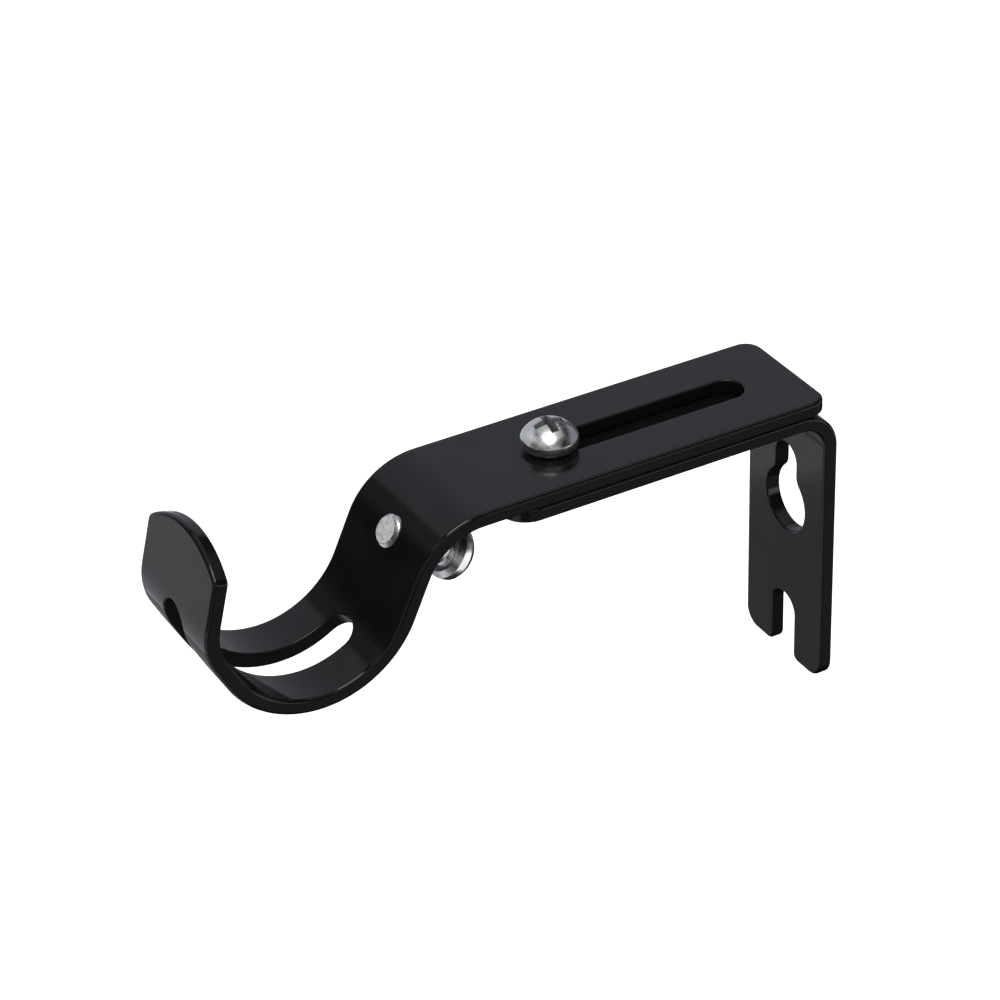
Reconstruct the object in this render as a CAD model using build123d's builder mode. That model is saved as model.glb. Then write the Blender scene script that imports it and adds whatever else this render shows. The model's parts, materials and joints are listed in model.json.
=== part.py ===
from build123d import *
from math import cos, radians, sin
import os

# Adjustable curtain pole bracket: a hooked arm clamped on an angled wall bracket by one screw,
# with a second screw through the hook's shoulder that holds the pole. Millimetres, +Z up.
# The origin is the centre of the keyhole's round hole, in the plane of the wall.
# The wall is the plane y = 0, and the arm reaches out along -Y.

# strip steel with its paint
arm_width = 21.0
leg_margin = 0.35           # the wall bracket's edges lie this far inside the arm's
strip_thickness = 2.35
edge_round = 0.55           # softened long edges
slot_edge_round = 0.3       # softened edges of slots and holes

# wall bracket
plate_height = 48.35        # from the leg's top face down to the prongs
leg_length = 55.2           # from the wall to the leg's front end
bend_radius = 4.0           # inside of the bend
leg_corner = 4.5
keyhole_land = 4.15         # flat plate between the bend and the top of the keyhole
keyhole_radius = 5.1
keyhole_slot_width = 5.3
keyhole_rise = 7.4          # from the round hole's centre to the centre of the slot's top
keyhole_throat_round = 2.5  # corners where the slot opens into the round hole
notch_width = 5.7
notch_depth = 10.75
prong_corner = 3.0
notch_mouth_round = 1.3

# hooked arm, pushed home
arm_setback = 1.9           # from the wall to the arm's end
arm_corner = 2.8
arm_land = 8.65             # strip left between the arm's end and its long slot
shoulder_gap = 4.9          # from the leg's front end to where the shoulder's bend starts
shoulder_radius = 9.65      # inside of the bend
shoulder_turn = 65.4
neck_length = 6.5
cradle_radius = 14.0        # inside, where the pole lies
cradle_rise = 62.6          # angle of the cradle's bend past its lowest point
lip_run = 3.6               # straight between the cradle's bend and the lip's
lip_bend_radius = 7.85
lip_lean = 13.7             # past upright, towards the pole
lip_height = 11.1           # straight part, at the middle of its crown
lip_crown_radius = 17.0
lip_corner = 1.3
cradle_slot_width = 6.1
cradle_slot_neck_angle = 30.2   # from the lowest point to the centre of the slot's end
cradle_slot_lip_angle = 19.5    # from the start of the lip's bend to the slot's other end

# projection screw, through the arm's long slot into the leg
screw_inset = 11.85         # from the leg's front end to the screw's axis
projection_screw_length = 10.0  # under its head, as for the pole screw
arm_slot_clearance = 0.15   # between the screw and the slot, all round

# pole screw, through the shoulder
pole_screw_inset = 10.6     # angle from the end of the shoulder's bend to the screw's axis
pole_screw_proud = 0.6      # its tip beyond the shoulder's outer face
pole_screw_length = 11.0

# pan head machine screws, alike but for their length
thread_radius = 2.5
thread_clearance = 0.05
thread_end_chamfer = 0.5
head_radius = 4.25
head_height = 4.45
head_rim_height = 2.0
head_foot_chamfer = 0.85
recess_span = 4.9
recess_width = 1.4
recess_depth = 2.3
recess_taper = 14.0
recess_turn = -6.0

bracket_width = arm_width - 2 * leg_margin
leg_top = strip_thickness + bend_radius + keyhole_land + keyhole_slot_width / 2 + keyhole_rise
arm_top = leg_top + strip_thickness
plate_bottom = leg_top - plate_height
tapped_radius = thread_radius + thread_clearance
screw_reach = leg_length - screw_inset
arm_slot_width = 2 * (thread_radius + arm_slot_clearance)
shoulder_start = leg_length + shoulder_gap
shoulder_outside = shoulder_radius + strip_thickness
lip_bend_turn = 90 + lip_lean - cradle_rise
cut_margin = 1.0            # how far a cut runs past the faces it goes through
tolerance = 1e-3

# the pole screw's axis crosses the shoulder's outer face at right angles
pole_screw_turn = radians(shoulder_turn - pole_screw_inset)
pole_screw_axis = Vector(0, -sin(pole_screw_turn), cos(pole_screw_turn))
shoulder_axis = Vector(0, -shoulder_start, leg_top - shoulder_radius)
pole_tip = shoulder_axis + pole_screw_axis * (shoulder_outside + pole_screw_proud)
pole_hole_plane = Plane(shoulder_axis, x_dir=(1, 0, 0), z_dir=pole_screw_axis)
pole_seat = Plane(pole_tip - pole_screw_axis * pole_screw_length, x_dir=(1, 0, 0), z_dir=-pole_screw_axis)
projection_seat = Plane((0, -screw_reach, arm_top))

os.makedirs("parts", exist_ok=True)


def long_edges(strip):
    """The edges that run along both sides of a bent strip, on both of its faces."""
    sides = strip.faces().filter_by(Axis.X).sort_by(Axis.X)
    around = sides[0].edges() + sides[-1].edges()
    return around.filter_by(lambda edge: abs(edge.length - strip_thickness) > tolerance)


def slot_edges(strip, width):
    """The long edges of a slot that is cut along the middle of a strip."""
    walls = strip.faces().filter_by(Axis.X)
    walls = walls.filter_by(lambda face: abs(abs(face.center().X) - width / 2) < tolerance)
    return walls.edges().filter_by(lambda edge: abs(edge.length - strip_thickness) > tolerance)


# Wall bracket: one strip folded into a leg and a wall plate

with BuildPart() as wall_bracket:
    with BuildSketch(Plane.YZ):
        with BuildLine():
            leg_face = Line((-leg_length, leg_top), (-bend_radius - strip_thickness, leg_top))
            outer_bend = JernArc(leg_face @ 1, leg_face % 1, bend_radius + strip_thickness, -90)
            foot = Polyline(outer_bend @ 1, (0, plate_bottom), (-strip_thickness, plate_bottom))
            plate_face = Line(foot @ 1, (-strip_thickness, leg_top - strip_thickness - bend_radius))
            inner_bend = JernArc(plate_face @ 1, plate_face % 1, bend_radius, 90)
            Polyline(inner_bend @ 1, (-leg_length, leg_top - strip_thickness), leg_face @ 0)
        make_face()
    extrude(amount=bracket_width / 2, both=True)

    # keyhole above, open notch below
    with BuildSketch(Plane.XZ):
        Circle(keyhole_radius)
        with Locations((0, keyhole_rise / 2)):
            SlotCenterToCenter(keyhole_rise, keyhole_slot_width, rotation=90)
        throat = vertices().filter_by(lambda vertex: abs(abs(vertex.X) - keyhole_slot_width / 2) < tolerance)
        fillet(throat.group_by(Axis.Y)[0], keyhole_throat_round)
        with Locations((0, plate_bottom)):
            SlotCenterToCenter(2 * notch_depth - notch_width, notch_width, rotation=90)
    extrude(amount=strip_thickness, mode=Mode.SUBTRACT)

    # rounded corners of the leg and the prongs
    leg_end = wall_bracket.faces().sort_by(Axis.Y)[0]
    fillet(leg_end.edges().filter_by(Axis.Z), leg_corner)
    foot_edges = wall_bracket.edges().filter_by(Axis.Y).group_by(Axis.Z)[0].sort_by(Axis.X)
    fillet([foot_edges[0], foot_edges[-1]], prong_corner)
    mouth_edges = wall_bracket.edges().filter_by(Axis.Y).group_by(Axis.Z)[0]
    fillet(mouth_edges, notch_mouth_round)

    # softened edges: both sides of the strip, and the front of the keyhole
    fillet(long_edges(wall_bracket), edge_round)
    round_holes = wall_bracket.faces().filter_by(GeomType.CYLINDER)
    round_holes = round_holes.filter_by(lambda face: abs(face.radius - keyhole_radius) < tolerance)
    keyhole_edges = slot_edges(wall_bracket, keyhole_slot_width)
    keyhole_edges += round_holes.edges().filter_by(GeomType.CIRCLE)
    fillet(keyhole_edges.group_by(Axis.Y)[0], slot_edge_round)

    # tapped hole for the projection screw
    with Locations(Plane((0, -screw_reach, leg_top))):
        Hole(tapped_radius, depth=strip_thickness)

wall_bracket.part.label = "wall_bracket"
export_step(wall_bracket.part, "parts/wall_bracket.step")


# Hooked arm: one strip bent over the shoulder and round the cradle to the lip

def cradle_face(start, heading, depth, neck_turn, lip_turn):
    """Down round the cradle and up to the lip, at a depth below the strip's upper face."""
    cradle = JernArc(start, heading, cradle_radius + depth, -neck_turn - cradle_rise)
    run = PolarLine(cradle @ 1, lip_run, direction=cradle % 1)
    lip_bend = JernArc(run @ 1, run % 1, lip_bend_radius + depth, -lip_turn)
    return cradle, lip_bend


def strip_face(depth):
    """The strip's outline from the arm's end to the lip's tip, at a depth below its upper face."""
    arm_run = Line((-arm_setback, arm_top - depth), (-shoulder_start, arm_top - depth))
    shoulder = JernArc(arm_run @ 1, arm_run % 1, shoulder_outside - depth, shoulder_turn)
    neck = PolarLine(shoulder @ 1, neck_length, direction=shoulder % 1)
    cradle, lip_bend = cradle_face(neck @ 1, neck % 1, depth, shoulder_turn, lip_bend_turn)
    lip = PolarLine(lip_bend @ 1, lip_height, direction=lip_bend % 1)
    return arm_run @ 0, lip @ 1, cradle.arc_center, lip_bend.arc_center


def towards_lip(angle):
    """Straight down, turned by an angle towards the lip."""
    return Vector(0, -sin(radians(angle)), -cos(radians(angle)))


with BuildPart() as hook_arm:
    with BuildSketch(Plane.YZ):
        with BuildLine():
            upper_end, inner_tip, cradle_axis, lip_axis = strip_face(0)
            lower_end, outer_tip, _, _ = strip_face(strip_thickness)
            Line(upper_end, lower_end)
            Line(inner_tip, outer_tip)
        make_face()
    extrude(amount=arm_width / 2, both=True)

    # crowned lip
    lip_tip = Vector(0, outer_tip.X, outer_tip.Y)
    with BuildSketch(Plane(lip_tip, x_dir=(1, 0, 0), z_dir=towards_lip(90 + lip_lean))):
        Rectangle(2 * arm_width, lip_height, align=(Align.CENTER, Align.MAX))
        with Locations((0, -lip_crown_radius)):
            Circle(lip_crown_radius, mode=Mode.SUBTRACT)
    extrude(amount=-strip_thickness - cut_margin, mode=Mode.SUBTRACT)

    # long slot that the arm is adjusted by
    slot_length = screw_reach - arm_setback - arm_land - arm_slot_width / 2
    with BuildSketch(Plane.XY.offset(arm_top)):
        with Locations((0, slot_length / 2 - screw_reach)):
            SlotCenterToCenter(slot_length, arm_slot_width, rotation=90)
    extrude(amount=-strip_thickness, mode=Mode.SUBTRACT)

    # slot round the cradle, with round ends that are square to the strip
    cradle_centre = Vector(0, cradle_axis.X, cradle_axis.Y)
    lip_centre = Vector(0, lip_axis.X, lip_axis.Y)
    neck_side = towards_lip(-cradle_slot_neck_angle)
    slot_heading = towards_lip(90 - cradle_slot_neck_angle)
    with BuildSketch(Plane.YZ):
        with BuildLine():
            ends = []
            for depth in (-cut_margin, strip_thickness + cut_margin):
                start = cradle_centre + neck_side * (cradle_radius + depth)
                _, lip_side = cradle_face((start.Y, start.Z), (slot_heading.Y, slot_heading.Z), depth,
                                          cradle_slot_neck_angle, cradle_slot_lip_angle)
                ends.append(((start.Y, start.Z), lip_side @ 1))
            Line(ends[0][0], ends[1][0])
            Line(ends[0][1], ends[1][1])
        make_face()
    extrude(amount=cradle_slot_width / 2, both=True, mode=Mode.SUBTRACT)
    neck_end = Plane(cradle_centre, x_dir=(1, 0, 0), z_dir=neck_side)
    lip_end = Plane(lip_centre, x_dir=(1, 0, 0), z_dir=towards_lip(cradle_rise + cradle_slot_lip_angle))
    for slot_end in (neck_end.offset(cradle_radius), lip_end.offset(lip_bend_radius)):
        with BuildSketch(slot_end.offset(-cut_margin)):
            Circle(cradle_slot_width / 2)
        extrude(amount=strip_thickness + 2 * cut_margin, mode=Mode.SUBTRACT)

    # tapped hole for the pole screw
    with BuildSketch(pole_hole_plane):
        Circle(tapped_radius)
    extrude(amount=shoulder_outside + cut_margin, mode=Mode.SUBTRACT)

    # rounded corners of the arm's end and the lip
    fillet(hook_arm.faces().sort_by(Axis.Y)[-1].edges().filter_by(Axis.Z), arm_corner)
    across_edges = hook_arm.edges().filter_by(lambda edge: abs(edge.length - strip_thickness) < tolerance)
    corner_edges = across_edges.filter_by(lambda edge: abs(edge.center().X) > arm_width / 2 - tolerance)
    fillet(corner_edges.group_by(Axis.Y)[0], lip_corner)

    # softened edges, all round the strip and its two slots
    fillet(long_edges(hook_arm), edge_round)
    fillet(slot_edges(hook_arm, arm_slot_width), slot_edge_round)
    fillet(slot_edges(hook_arm, cradle_slot_width), slot_edge_round)

hook_arm.part.label = "hook_arm"
export_step(hook_arm.part, "parts/hook_arm.step")


# Pan head screws with a cross recess, each with its head on its seat and its thread behind it

dome_rise = head_height - head_rim_height
dome_radius = (head_radius**2 + dome_rise**2) / (2 * dome_rise)

for name, seat, length in (("projection_screw", projection_seat, projection_screw_length),
                           ("pole_screw", pole_seat, pole_screw_length)):
    with BuildPart() as screw:
        with BuildSketch(Plane(seat.origin, x_dir=seat.x_dir, z_dir=-seat.y_dir)):
            with BuildLine():
                shank = Polyline((0, -length), (thread_radius - thread_end_chamfer, -length),
                                 (thread_radius, thread_end_chamfer - length), (thread_radius, 0))
                rim = Polyline(shank @ 1, (head_radius - head_foot_chamfer, 0),
                               (head_radius, head_foot_chamfer), (head_radius, head_rim_height))
                dome = RadiusArc(rim @ 1, (0, head_height), -dome_radius)
                Line(dome @ 1, shank @ 0)
            make_face()
        revolve(axis=Axis(seat.origin, seat.z_dir))
        with BuildSketch(seat.offset(head_height)):
            Rectangle(recess_span, recess_width, rotation=recess_turn)
            Rectangle(recess_width, recess_span, rotation=recess_turn)
        extrude(amount=-recess_depth, taper=recess_taper, mode=Mode.SUBTRACT)
    screw.part.label = name
    export_step(screw.part, f"parts/{name}.step")
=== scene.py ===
import json
import math

import bmesh
import bpy
from mathutils import Matrix, Vector


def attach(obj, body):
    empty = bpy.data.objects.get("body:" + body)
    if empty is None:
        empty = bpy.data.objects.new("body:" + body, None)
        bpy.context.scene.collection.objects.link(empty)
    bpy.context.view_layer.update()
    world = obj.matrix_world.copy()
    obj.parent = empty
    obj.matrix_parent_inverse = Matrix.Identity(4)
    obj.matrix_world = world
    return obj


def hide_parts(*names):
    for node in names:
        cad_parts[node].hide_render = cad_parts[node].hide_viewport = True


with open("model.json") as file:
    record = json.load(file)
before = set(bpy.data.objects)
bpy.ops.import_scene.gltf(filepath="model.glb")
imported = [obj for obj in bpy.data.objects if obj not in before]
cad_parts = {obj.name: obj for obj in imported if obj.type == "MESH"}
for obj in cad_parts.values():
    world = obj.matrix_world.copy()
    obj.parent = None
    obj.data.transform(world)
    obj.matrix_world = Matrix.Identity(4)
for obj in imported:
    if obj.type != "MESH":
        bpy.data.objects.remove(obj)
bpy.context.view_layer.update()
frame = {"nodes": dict(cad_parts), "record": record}   # bodies: wall_bracket, hook_arm, projection_screw, pole_screw
mm = 0.001
alongPole = Vector((1, 0, 0))   # across both strips
noiseBand = (0.3, 0.7)          # noise lies mostly between these
print("frame loaded with", ", ".join(sorted(frame["nodes"])))


# a material with its shader and the coordinates that ride with the piece
def startMaterial(name):
    material = bpy.data.materials.new(name)
    material.use_nodes = True
    tree = material.node_tree
    tree.nodes.clear()
    output = tree.nodes.new("ShaderNodeOutputMaterial")
    shader = tree.nodes.new("ShaderNodeBsdfPrincipled")
    tree.links.new(shader.outputs["BSDF"], output.inputs["Surface"])
    coords = tree.nodes.new("ShaderNodeTexCoord").outputs["Object"]
    return material, tree, shader, coords


def cloudOf(tree, coords, size, detail):    # soft noise, size is the width of one patch
    noise = tree.nodes.new("ShaderNodeTexNoise")
    noise.inputs["Scale"].default_value = 1 / size
    noise.inputs["Detail"].default_value = detail
    tree.links.new(coords, noise.inputs["Vector"])
    return noise.outputs["Fac"]


def spread(tree, value, low, high, start=noiseBand[0], end=noiseBand[1]):
    node = tree.nodes.new("ShaderNodeMapRange")
    node.inputs["From Min"].default_value = start
    node.inputs["From Max"].default_value = end
    node.inputs["To Min"].default_value = low
    node.inputs["To Max"].default_value = high
    tree.links.new(value, node.inputs["Value"])
    return node.outputs["Result"]


def tint(tree, value, dark, light):
    ramp = tree.nodes.new("ShaderNodeValToRGB")
    for stop, position, colour in zip(ramp.color_ramp.elements, noiseBand, (dark, light)):
        stop.position = position
        stop.color = (*colour, 1)
    tree.links.new(value, ramp.inputs["Fac"])
    return ramp.outputs["Color"]


def relief(tree, height, depth, strength, before=None):
    bump = tree.nodes.new("ShaderNodeBump")
    bump.inputs["Distance"].default_value = depth
    bump.inputs["Strength"].default_value = strength
    tree.links.new(height, bump.inputs["Height"])
    if before is not None:
        tree.links.new(before, bump.inputs["Normal"])
    return bump.outputs["Normal"]


def mathOf(tree, operation, *values):   # each value is a number or another node's output
    node = tree.nodes.new("ShaderNodeMath")
    node.operation = operation
    for socket, value in zip(node.inputs, values):
        if isinstance(value, (int, float)):
            socket.default_value = value
        else:
            tree.links.new(value, socket)
    return node.outputs["Value"]


# black enamel on the two strips; a noise is given by its patch width and its detail
enamel = {
    "dark": (0.0024, 0.0025, 0.0028),
    "light": (0.0038, 0.0039, 0.0043),
    "mottle": (14 * mm, 3.0),   # slow change of tone over the strip
    "haze": (5 * mm, 4.0),      # patches of more and less gloss
    "gloss": (0.10, 0.16),      # roughness, low and high
    "ior": 1.45,
    "peel": (1.3 * mm, 1.0),    # orange peel
    "peelDepth": 0.010 * mm,
    "grain": (0.22 * mm, 1.0),  # fine powder texture
    "grainDepth": 0.0012 * mm,
    "bump": 0.5,
    "wallReach": 3.4 * mm,      # the walls of the slots lie within this of the middle
    "wallFacing": (0.5, 0.8),   # and face across the strip
    "wallRough": 0.40,          # the walls of the slots are rougher by this
    "wallShine": 0.16,
    "faceShine": 0.5,
}


# one on the punched walls of the slots, nought elsewhere
def slotWalls(tree, coords):
    sides = []
    for source in (coords, coords.node.outputs["Normal"]):
        split = tree.nodes.new("ShaderNodeSeparateXYZ")
        tree.links.new(source, split.inputs["Vector"])
        sides.append(mathOf(tree, "ABSOLUTE", split.outputs["X"]))
    place, facing = sides
    near = mathOf(tree, "LESS_THAN", place, enamel["wallReach"])
    return mathOf(tree, "MULTIPLY", near, spread(tree, facing, 0, 1, *enamel["wallFacing"]))


def blackEnamel(name):
    material, tree, shader, coords = startMaterial(name)
    shader.inputs["IOR"].default_value = enamel["ior"]
    shader.inputs["Metallic"].default_value = 0.0
    mottle = cloudOf(tree, coords, *enamel["mottle"])
    tree.links.new(tint(tree, mottle, enamel["dark"], enamel["light"]), shader.inputs["Base Color"])
    walls = slotWalls(tree, coords)
    haze = spread(tree, cloudOf(tree, coords, *enamel["haze"]), *enamel["gloss"])
    duller = spread(tree, walls, 0, enamel["wallRough"], 0, 1)
    tree.links.new(mathOf(tree, "ADD", haze, duller), shader.inputs["Roughness"])
    # the walls of the slots get a lower specular level than the faces, so they show darker
    shine = spread(tree, walls, enamel["faceShine"], enamel["wallShine"], 0, 1)
    tree.links.new(shine, shader.inputs["Specular IOR Level"])
    peel = relief(tree, cloudOf(tree, coords, *enamel["peel"]), enamel["peelDepth"], enamel["bump"])
    powder = cloudOf(tree, coords, *enamel["grain"])
    grain = relief(tree, powder, enamel["grainDepth"], enamel["bump"], peel)
    tree.links.new(grain, shader.inputs["Normal"])
    return material


for node in ("wall_bracket", "hook_arm"):
    frame["nodes"][node].material_slots[0].material = blackEnamel(node + "_enamel")
print("enamel on the wall bracket and the arm")


# bright plating on the screws, with the fine rings that turning leaves
plating = {
    "dark": (0.84, 0.85, 0.87),
    "light": (0.93, 0.94, 0.95),
    "cloud": (1.6 * mm, 4.0),
    "haze": (1.6 * mm / 3, 3.0),
    "gloss": (0.24, 0.34),
    "ring": 0.16 * mm,          # width of one ring
    "ringTurn": 0.31,           # one ring of the wave node, at a scale of one
    "ringWobble": 0.6,
    "ringDetail": 1.0,
    "ringDepth": 0.0008 * mm,
    "ringBump": 0.4,
    "scuff": (0.35 * mm, 2.0),
    "scuffDepth": 0.0008 * mm,
    "scuffBump": 0.5,
}


def brightPlating():
    material, tree, shader, coords = startMaterial("bright_plating")
    shader.inputs["Metallic"].default_value = 1.0
    cloud = cloudOf(tree, coords, *plating["cloud"])
    tree.links.new(tint(tree, cloud, plating["dark"], plating["light"]), shader.inputs["Base Color"])
    haze = cloudOf(tree, coords, *plating["haze"])
    tree.links.new(spread(tree, haze, *plating["gloss"]), shader.inputs["Roughness"])
    rings = tree.nodes.new("ShaderNodeTexWave")
    rings.wave_type = "RINGS"
    rings.rings_direction = "Z"
    rings.inputs["Scale"].default_value = plating["ringTurn"] / plating["ring"]
    rings.inputs["Distortion"].default_value = plating["ringWobble"]
    rings.inputs["Detail"].default_value = plating["ringDetail"]
    tree.links.new(coords, rings.inputs["Vector"])
    turned = relief(tree, rings.outputs["Fac"], plating["ringDepth"], plating["ringBump"])
    scuff = cloudOf(tree, coords, *plating["scuff"])
    scuffed = relief(tree, scuff, plating["scuffDepth"], plating["scuffBump"], turned)
    tree.links.new(scuffed, shader.inputs["Normal"])
    return material


# the blunt end of a thread, left dull by the cut
cutEnd = {
    "dark": (0.56, 0.57, 0.58),
    "light": (0.86, 0.87, 0.88),
    "metal": 0.75,
    "cloud": (0.7 * mm, 4.0),
    "gloss": (0.55, 0.70),
    "pit": (0.25 * mm, 2.0),
    "pitDepth": 0.02 * mm,
    "bump": 0.5,
}

# the walls of the recess: a darker, rougher metal, painted shade in the recess
recessShade = {
    "dark": (0.20, 0.20, 0.21),
    "light": (0.32, 0.32, 0.33),
    "metal": 0.85,
    "cloud": (0.5 * mm, 4.0),
    "gloss": (0.30, 0.42),
    "pit": (0.15 * mm, 2.0),
    "pitDepth": 0.008 * mm,
    "bump": 0.5,
}


def dullMetal(name, look):
    material, tree, shader, coords = startMaterial(name)
    shader.inputs["Metallic"].default_value = look["metal"]
    cloud = cloudOf(tree, coords, *look["cloud"])
    tree.links.new(tint(tree, cloud, look["dark"], look["light"]), shader.inputs["Base Color"])
    tree.links.new(spread(tree, cloud, *look["gloss"]), shader.inputs["Roughness"])
    pits = relief(tree, cloudOf(tree, coords, *look["pit"]), look["pitDepth"], look["bump"])
    tree.links.new(pits, shader.inputs["Normal"])
    return material


# pan head machine screws, M5 with a coarse right-hand thread, head up and seat at zero
screwForm = {
    "columns": 72,
    "threadRadius": 2.5 * mm,
    "threadDepth": 0.49 * mm,
    "pitch": 0.8 * mm,
    "crest": 2 / 16,            # shares of the pitch: crest, flank, root and flank again
    "flank": 5 / 16,
    "root": 4 / 16,
    "rowsPerTurn": 16,
    "rowSlip": 1e-9,            # in turns, so that a row falls just past its corner of the thread
    "runOut": 0.9 * mm,         # the thread fades away under the head
    "endChamfer": 0.5 * mm,
    "weld": 0.0001 * mm,        # corners closer than this are one
    "headRadius": 4.25 * mm,
    "headHeight": 4.45 * mm,
    "rimHeight": 2.0 * mm,
    "footChamfer": 0.85 * mm,
    "cornerRound": 0.12 * mm,
    "footLean": 0.3,            # shares of the corner round, for the corners of the foot and the rim
    "rimDrop": 0.8,
    "rimTuck": 0.1,
    "rimTurn": 0.02,            # radians, the dome starts this far in from the rim
    "domeRings": 18,
    "recessSpan": 4.9 * mm,
    "recessWidth": 1.4 * mm,
    "recessDepth": 2.3 * mm,
    "recessTaper": math.radians(14),
    "recessTurn": math.radians(-6),
    "recessOver": 0.4 * mm,     # the cutter stands this far over the dome
    "recessEdge": 0.06 * mm,
    "edgeSteps": 2,
    "edgeProfile": 0.5,
    "mouthAngle": math.radians(40),     # the mouth's edges are at least this sharp
    "mouthRise": 1.2 * mm,      # over the rim
    "mouthReach": 0.56,         # share of the recess's span
    "mouthFacing": 0.75,        # upward share of the dome's normal beside the mouth
    "sharpAngle": math.radians(28),
    "slots": ("plating", "end", "recess"),
}


# radius at a share of one turn and a depth under the head
def threadRadiusAt(share, depth, length):
    form = screwForm
    pastCrest = share - form["crest"]
    pastFlank = pastCrest - form["flank"]
    if pastCrest <= 0:
        cut = 0.0
    elif pastFlank <= 0:
        cut = pastCrest / form["flank"]
    elif pastFlank <= form["root"]:
        cut = 1.0
    else:
        cut = (1 - share) / form["flank"]
    fade = min(1.0, depth / form["runOut"])
    radius = form["threadRadius"] - form["threadDepth"] * cut * fade
    blunt = form["threadRadius"] - form["endChamfer"] + (length - depth)
    return min(radius, blunt)


def addThread(bm, length):
    form = screwForm
    columns, perTurn = form["columns"], form["rowsPerTurn"]
    step = form["pitch"] / perTurn
    rowCount = math.ceil(length / step) + perTurn + 1
    rows = []
    for i in range(rowCount + 1):
        row = []
        for j in range(columns):
            lead = form["pitch"] * j / columns      # rows climb with the helix
            depth = min(max(i * step - lead, 0.0), length)
            share = ((depth + lead) / form["pitch"] + form["rowSlip"]) % 1.0
            radius = threadRadiusAt(share, depth, length)
            angle = 2 * math.pi * j / columns
            row.append(bm.verts.new((radius * math.cos(angle), radius * math.sin(angle), -depth)))
        rows.append(row)
    for i in range(rowCount):
        for j in range(columns):
            if j + 1 < columns:
                ring = (rows[i][j], rows[i + 1][j], rows[i + 1][j + 1], rows[i][j + 1])
            else:                                   # a turn further on, one pitch lower
                low, lowNext = max(i - perTurn, 0), max(i + 1 - perTurn, 0)
                ring = (rows[i][j], rows[i + 1][j], rows[lowNext][0], rows[low][0])
            corners = list(dict.fromkeys(ring))     # a corner may come twice at the top
            if len(corners) >= 3:
                bm.faces.new(corners)


# turns a half outline of (radius, height) points; the last point may lie on the axis
def addTurned(bm, outline, materialIndex=0):
    columns = screwForm["columns"]
    rings = []
    for radius, height in outline:
        if radius == 0:
            rings.append([bm.verts.new((0, 0, height))])
            continue
        ring = []
        for j in range(columns):
            angle = 2 * math.pi * j / columns
            ring.append(bm.verts.new((radius * math.cos(angle), radius * math.sin(angle), height)))
        rings.append(ring)
    for first, second in zip(rings, rings[1:]):
        for j in range(columns):
            k = (j + 1) % columns
            if len(second) == 1:
                face = bm.faces.new((first[j], first[k], second[0]))
            else:
                face = bm.faces.new((first[j], first[k], second[k], second[j]))
            face.material_index = materialIndex


# underside, chamfered foot, rim and dome, from the thread out and up to the middle
def headOutline():
    form = screwForm
    radius, rim = form["headRadius"], form["rimHeight"]
    foot, soft = form["footChamfer"], form["cornerRound"]
    lean, tuck = form["footLean"] * soft, form["rimTuck"] * soft
    rise = form["headHeight"] - rim
    domeRadius = (radius ** 2 + rise ** 2) / (2 * rise)
    domeCentre = form["headHeight"] - domeRadius
    edge = math.asin(radius / domeRadius)
    outline = [(form["threadRadius"], 0), (radius - foot - soft, 0),
               (radius - foot + lean, lean), (radius - lean, foot - lean), (radius, foot + soft),
               (radius, rim - form["rimDrop"] * soft), (radius - tuck, rim - tuck)]
    for i in range(form["domeRings"]):
        angle = edge * (1 - i / form["domeRings"])
        if i == 0:
            angle -= form["rimTurn"]
        outline.append((domeRadius * math.sin(angle), domeCentre + domeRadius * math.cos(angle)))
    outline.append((0, form["headHeight"]))
    return outline


# the cross recess as a cutter, wider at the top, its four wings tapering inwards
def recessCutter():
    form = screwForm
    bm = bmesh.new()
    loops = []
    for below in (form["recessDepth"], -form["recessOver"]):
        inset = below * math.tan(form["recessTaper"])
        s, w = form["recessSpan"] / 2 - inset, form["recessWidth"] / 2 - inset
        corners = ((s, -w), (s, w), (w, w), (w, s), (-w, s), (-w, w),
                   (-s, w), (-s, -w), (-w, -w), (-w, -s), (w, -s), (w, -w))
        loops.append([bm.verts.new((x, y, form["headHeight"] - below)) for x, y in corners])
    bottom, top = loops
    bm.faces.new(reversed(bottom))
    bm.faces.new(top)
    for i in range(len(bottom)):
        k = (i + 1) % len(bottom)
        bm.faces.new((bottom[i], bottom[k], top[k], top[i]))
    for face in bm.faces:
        face.material_index = form["slots"].index("recess")
    turn = Matrix.Rotation(form["recessTurn"], 3, "Z")
    bmesh.ops.rotate(bm, verts=bm.verts, cent=(0, 0, 0), matrix=turn)
    mesh = bpy.data.meshes.new("recess")
    bm.to_mesh(mesh)
    bm.free()
    return bpy.data.objects.new("recess", mesh)


def softenRecess(mesh):     # a small round along the mouth of the recess
    form = screwForm
    lowest = form["rimHeight"] + form["mouthRise"]
    reach = form["recessSpan"] * form["mouthReach"]
    bm = bmesh.new()
    bm.from_mesh(mesh)
    mouth = []
    for edge in bm.edges:
        if len(edge.link_faces) != 2 or edge.calc_face_angle() <= form["mouthAngle"]:
            continue
        inside = all(v.co.z > lowest and v.co.xy.length < reach for v in edge.verts)
        if inside and any(abs(f.normal.z) > form["mouthFacing"] for f in edge.link_faces):
            mouth.append(edge)
    bmesh.ops.bevel(bm, geom=mouth, offset=form["recessEdge"], segments=form["edgeSteps"],
                    affect="EDGES", profile=form["edgeProfile"])
    bm.to_mesh(mesh)
    bm.free()


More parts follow.
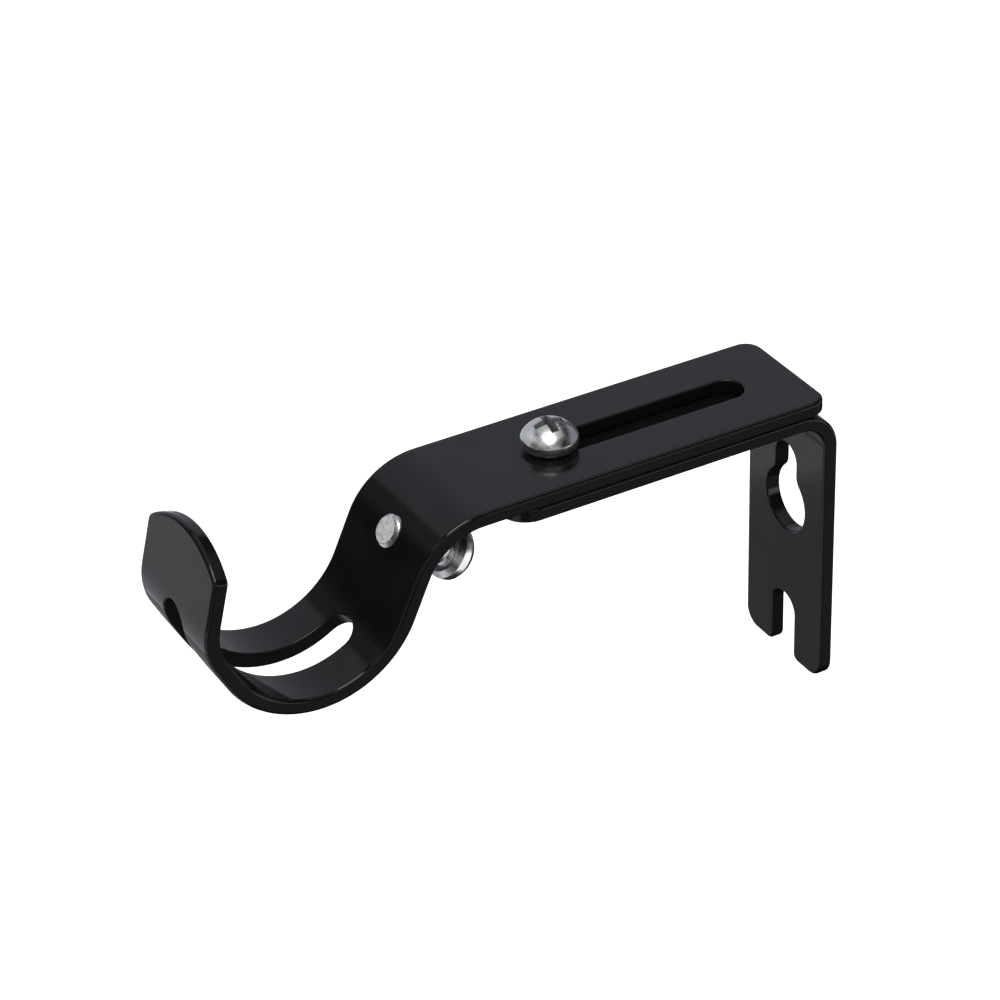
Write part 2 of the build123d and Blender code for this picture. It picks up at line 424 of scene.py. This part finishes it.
def machineScrew(name, length, seat, headAxis, metals):
    form = screwForm
    bm = bmesh.new()
    addThread(bm, length)
    addTurned(bm, headOutline())
    blunt = form["threadRadius"] - form["endChamfer"]
    addTurned(bm, [(blunt, -length), (0, -length)], form["slots"].index("end"))
    bmesh.ops.remove_doubles(bm, verts=bm.verts, dist=form["weld"])
    bmesh.ops.recalc_face_normals(bm, faces=bm.faces)
    mesh = bpy.data.meshes.new(name)
    bm.to_mesh(mesh)
    bm.free()
    for slot in form["slots"]:
        mesh.materials.append(metals[slot])
    screw = bpy.data.objects.new(name, mesh)
    cutter = recessCutter()
    for obj in (screw, cutter):
        bpy.context.scene.collection.objects.link(obj)
    cut = screw.modifiers.new("recess", "BOOLEAN")
    cut.object = cutter
    cut.operation = "DIFFERENCE"
    cut.solver = "EXACT"
    shown = screw.evaluated_get(bpy.context.evaluated_depsgraph_get())
    finished = bpy.data.meshes.new_from_object(shown)
    screw.modifiers.clear()
    screw.data = finished
    bpy.data.objects.remove(cutter)
    softenRecess(finished)
    finished.polygons.foreach_set("use_smooth", [True] * len(finished.polygons))
    finished.set_sharp_from_angle(angle=form["sharpAngle"])
    finished.name = name
    # the head's own axis becomes Z, and X stays along the pole
    turn = Matrix((alongPole, headAxis.cross(alongPole), headAxis)).transposed().to_4x4()
    screw.matrix_world = Matrix.Translation(seat) @ turn
    return screw


# where the head seats: the thread's length from the solid's blunt end, along the axis
def seatOf(node, headAxis, length):
    corners = [Vector(v.co) for v in frame["nodes"][node].data.vertices]
    square = alongPole.cross(headAxis)
    aside = [corner.dot(square) for corner in corners]
    end = min(corner.dot(headAxis) for corner in corners)
    return headAxis * (end + length) + square * (min(aside) + max(aside)) / 2


joints = {joint["name"]: joint for joint in frame["record"]["behaviour"]["joints"]}
screws = {      # the head's axis is the joint's, with this sign; the length is the thread's
    "projectionScrew": {"node": "projection_screw", "joint": "projection_screw_turn",
                        "sign": 1, "length": 10 * mm},
    "poleScrew": {"node": "pole_screw", "joint": "pole_screw_advance",
                  "sign": -1, "length": 11 * mm},
}
metals = {
    "plating": brightPlating(),
    "end": dullMetal("dull_thread_end", cutEnd),
    # the recess walls carry painted shade as a darker metal
    "recess": dullMetal("recess_painted_shade", recessShade),
}
for name, made in screws.items():
    headAxis = Vector(joints[made["joint"]]["axis"]).normalized() * made["sign"]
    seat = seatOf(made["node"], headAxis, made["length"])
    screw = machineScrew(name, made["length"], seat, headAxis, metals)
    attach(screw, made["node"])
    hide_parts(made["node"])
    print(name, "has", len(screw.data.polygons), "faces")


# pale floor under the part, in metres
floorLook = {
    "radius": 3.0,
    "sides": 96,
    "height": -0.15,
    "dark": (0.86, 0.86, 0.86),
    "light": (0.88, 0.88, 0.88),
    "patch": (0.05, 3.0),
    "rough": 0.8,
    "shine": 0.0,
}


def paleFloor():
    bm = bmesh.new()
    bmesh.ops.create_circle(bm, cap_ends=True, segments=floorLook["sides"], radius=floorLook["radius"])
    mesh = bpy.data.meshes.new("floor")
    bm.to_mesh(mesh)
    bm.free()
    floor = bpy.data.objects.new("floor", mesh)
    floor.location.z = floorLook["height"]
    bpy.context.scene.collection.objects.link(floor)
    material, tree, shader, coords = startMaterial("floor_paper")
    shader.inputs["Roughness"].default_value = floorLook["rough"]
    shader.inputs["Specular IOR Level"].default_value = floorLook["shine"]
    patch = cloudOf(tree, coords, *floorLook["patch"])
    tree.links.new(tint(tree, patch, floorLook["dark"], floorLook["light"]), shader.inputs["Base Color"])
    mesh.materials.append(material)
    floor.visible_glossy = False


paleFloor()

# soft studio light: panels and floor cards that the enamel mirrors, in metres
coolLight = (0.94, 0.97, 1.07)
paperLight = (0.97, 0.98, 1.05)
screwLight = (0.96, 0.98, 1.05)
slant = (0.83, 0.56, 0)                         # level, from tableGlow towards the part
cardHeight = floorLook["height"] + 5 * mm       # cards lie just over the floor
lamps = {
    "sidePanel": {"place": (-0.80, 0.175, 0.33), "facing": (1, 0, 0), "along": (0, 1, 0),
                  "size": (1.25, 0.94), "radiance": 0.43, "colour": coolLight},
    "sideFade": {"place": (-0.80, -0.575, 0.33), "facing": (1, 0, 0), "along": (0, 1, 0),
                 "size": (0.25, 0.94), "radiance": 0.12, "colour": coolLight},
    "overheadPanel": {"place": (-0.12, 0.08, 0.86), "facing": (0, 0, -1),
                      "size": (1.20, 1.06), "radiance": 0.40},
    "tableGlow": {"place": (-0.53, -0.36, cardHeight), "facing": (0, 0, 1), "along": slant,
                  "size": (0.80, 1.10), "radiance": 0.55, "colour": paperLight},
    "nearGlow": {"place": (-0.14, -0.10, cardHeight - mm), "facing": (0, 0, 1), "along": slant,
                 "size": (0.16, 0.50), "radiance": 0.25, "colour": paperLight},
    "lowFill": {"place": (0.29, 0.17, cardHeight), "facing": (0, 0, 1), "along": slant,
                "size": (0.45, 0.45), "radiance": 0.13, "colour": paperLight},
    "frontGlow": {"place": (0.05, -0.25, cardHeight), "facing": (0, 0, 1),
                  "size": (0.24, 0.28), "radiance": 0.40},
    "keyBox": {"place": (0.24, -0.19, 0.80), "facing": (-0.28, 0.19, -0.94),
               "size": (0.50, 0.42), "radiance": 4.0},
    "backPanel": {"place": (0.0, 0.85, 0.25), "facing": (0, -1, 0),
                  "size": (1.10, 0.50), "radiance": 0.25, "colour": coolLight},
    "cornerPanel": {"place": (0.54, 0.40, -0.04), "facing": (-0.77, -0.64, 0),
                    "along": (-0.64, 0.77, 0), "size": (0.44, 0.20), "radiance": 1.20},
    "rightPanel": {"place": (0.80, -0.45, 0.32), "facing": (-1, 0, 0), "along": (0, 1, 0),
                   "size": (1.20, 0.60), "radiance": 0.40},
    "frontPanel": {"place": (-0.18, -0.80, 0.85), "facing": (0, 1, 0),
                   "size": (1.60, 0.50), "radiance": 0.40},
    "frontFloor": {"place": (0.22, -0.40, cardHeight), "facing": (0, 0, 1),
                   "size": (0.30, 0.28), "radiance": 0.60},
    "frontLow": {"place": (0.0, -0.90, 0.12), "facing": (0, 1, 0),
                 "size": (1.00, 0.40), "radiance": 0.30},
    "backFloor": {"place": (0.20, 0.55, cardHeight), "facing": (0, 0, 1),
                  "size": (1.00, 0.50), "radiance": 0.35},
    "leftFloor": {"place": (-0.45, 0.27, cardHeight), "facing": (0, 0, 1),
                  "size": (0.50, 0.60), "radiance": 0.30},
    "domeFill": {"place": (-0.44, -0.50, 0.30), "facing": (0.60, 0.68, -0.40),
                 "along": (0.75, -0.66, 0), "size": (0.55, 0.50), "radiance": 0.36,
                 "colour": screwLight, "pieces": ("projectionScrew",)},
    "rimFill": {"place": (0.24, 0.06, -0.13), "facing": (-0.70, -0.35, 0.62),
                "along": (-0.45, 0.89, 0), "size": (0.40, 0.30), "radiance": 0.90,
                "pieces": ("poleScrew",)},
}


def softLamp(name, place, facing, size, radiance, along=(1, 0, 0), colour=(1, 1, 1), pieces=()):
    lamp = bpy.data.lights.new(name, "AREA")
    lamp.shape = "RECTANGLE"
    lamp.size, lamp.size_y = size
    lamp.energy = math.pi * size[0] * size[1] * radiance
    lamp.color = colour
    obj = bpy.data.objects.new(name, lamp)
    zAxis = -Vector(facing).normalized()
    yAxis = zAxis.cross(Vector(along)).normalized()
    turn = Matrix((yAxis.cross(zAxis), yAxis, zAxis)).transposed().to_4x4()
    obj.matrix_world = Matrix.Translation(place) @ turn
    obj.visible_camera = False
    bpy.context.scene.collection.objects.link(obj)
    if pieces:      # a fill for these pieces alone
        lit = bpy.data.collections.new(name)
        for piece in pieces:
            lit.objects.link(bpy.data.objects[piece])
        obj.light_linking.receiver_collection = lit


for name, made in lamps.items():
    softLamp(name, **made)

# a white surround that lights the floor, while gloss shows the panels alone
room = {"white": (1.0, 1.0, 1.0), "strength": 1.2}
world = bpy.data.worlds.new("room")
bpy.context.scene.world = world
world.use_nodes = True
background = world.node_tree.nodes["Background"]
background.inputs["Color"].default_value = (*room["white"], 1)
background.inputs["Strength"].default_value = room["strength"]
world.cycles_visibility.glossy = False
bpy.context.scene.view_settings.view_transform = "Standard"
print("floor, lamps and room")


# camera as in the photograph: from the lip's side, above, with a slight roll
cameraView = {
    "azimuth": 61.103,
    "elevation": 32.476,
    "roll": -1.827,
    "distance": 0.50175,
    "target": (0, -60 * mm, 7.7 * mm),
    "slide": (6.90 * mm, 9.97 * mm),   # right and up from the target
    "lens": 125.49,
    "sensor": 36,
    "clip": (0.02, 20),
}


def photoCamera():
    turn, rise, roll = (math.radians(cameraView[k]) for k in ("azimuth", "elevation", "roll"))
    back = Vector((math.sin(turn) * math.cos(rise), -math.cos(turn) * math.cos(rise), math.sin(rise)))
    level = Vector((math.cos(turn), math.sin(turn), 0))
    steep = back.cross(level)
    right = math.cos(roll) * level + math.sin(roll) * steep
    up = math.cos(roll) * steep - math.sin(roll) * level
    across, above = cameraView["slide"]
    place = Vector(cameraView["target"]) + back * cameraView["distance"] + right * across + up * above
    data = bpy.data.cameras.new("photoCamera")
    data.lens = cameraView["lens"]
    data.sensor_width = cameraView["sensor"]
    data.clip_start, data.clip_end = cameraView["clip"]
    camera = bpy.data.objects.new("photoCamera", data)
    camera.matrix_world = Matrix.Translation(place) @ Matrix((right, up, back)).transposed().to_4x4()
    bpy.context.scene.collection.objects.link(camera)
    bpy.context.scene.camera = camera


photoCamera()
print("camera set")
